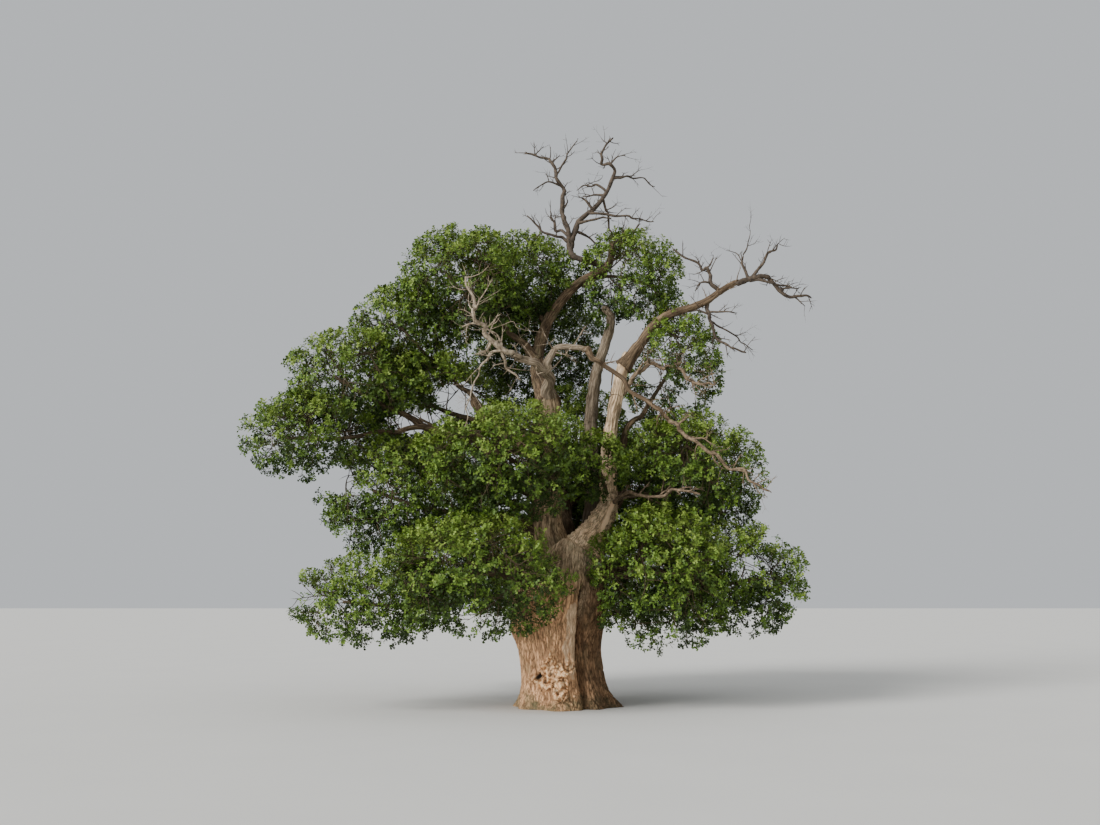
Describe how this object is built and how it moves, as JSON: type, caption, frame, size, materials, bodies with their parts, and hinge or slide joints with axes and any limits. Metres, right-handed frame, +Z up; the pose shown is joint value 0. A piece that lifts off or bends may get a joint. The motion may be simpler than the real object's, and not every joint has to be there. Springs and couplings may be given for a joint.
{
  "type": "ancient oak tree",
  "caption": "Ancient open-grown oak with a short thick trunk, a wide low leafy crown, leaning stems and bare dead antlers above.",
  "frame": {"origin": "in the flat cut at ground level, under the middle of the trunk", "axes": "+Z up; the pictured side faces -Y; +X to the right as seen from that side"},
  "size_m": [15.5422, 10.4939, 16.3129],
  "materials": {
    "bark": "rough fissured bark, grey-brown",
    "dead_wood": "weathered barkless wood, pale grey-brown",
    "leaves": "matt green leaves on thin twigs"
  },
  "bodies": {
    "root": {"trunk": "bark", "stem_left": "bark", "stem_right": "bark", "stem_back": "bark", "snag": "dead_wood", "leader": "bark", "dead_right": "dead_wood", "dead_left": "dead_wood", "dead_cross_inner": "dead_wood", "dead_cross_outer": "dead_wood", "stub_left": "dead_wood", "stub_low": "dead_wood", "bare_top_left": "dead_wood", "bare_top_right": "dead_wood", "bare_top_low": "dead_wood", "bare_right_end": "dead_wood", "bare_right_rise": "dead_wood", "bare_right_drop": "dead_wood", "bare_right_arm": "dead_wood", "bare_low_right": "dead_wood", "bare_cross": "dead_wood", "bare_left": "dead_wood", "bough_low_left": "bark", "bough_left_lower": "bark", "bough_left_upper": "bark", "bough_left_tip": "bark", "bough_left_inner": "bark", "bough_shoulder": "bark", "bough_top_left": "bark", "bough_top_middle": "bark", "bough_top_right": "bark", "bough_right_upper": "bark", "bough_right_middle": "bark", "bough_low_right": "bark", "bough_rear_left": "bark", "bough_rear_right": "bark", "bough_rear_low_left": "bark", "bough_rear_low_right": "bark", "low_left_inner": "leaves", "low_left_outer": "leaves", "left_lower": "leaves", "left_upper": "leaves", "left_tip": "leaves", "left_inner": "leaves", "shoulder_left": "leaves", "top_left": "leaves", "top_middle": "leaves", "top_right": "leaves", "centre_front": "leaves", "centre_back": "leaves", "right_upper": "leaves", "right_middle": "leaves", "low_right_inner": "leaves", "low_right_outer": "leaves", "rear_left": "leaves", "rear_right": "leaves", "rear_low_left": "leaves", "rear_low_right": "leaves", "rear_top": "leaves"}
  },
  "joints": []
}
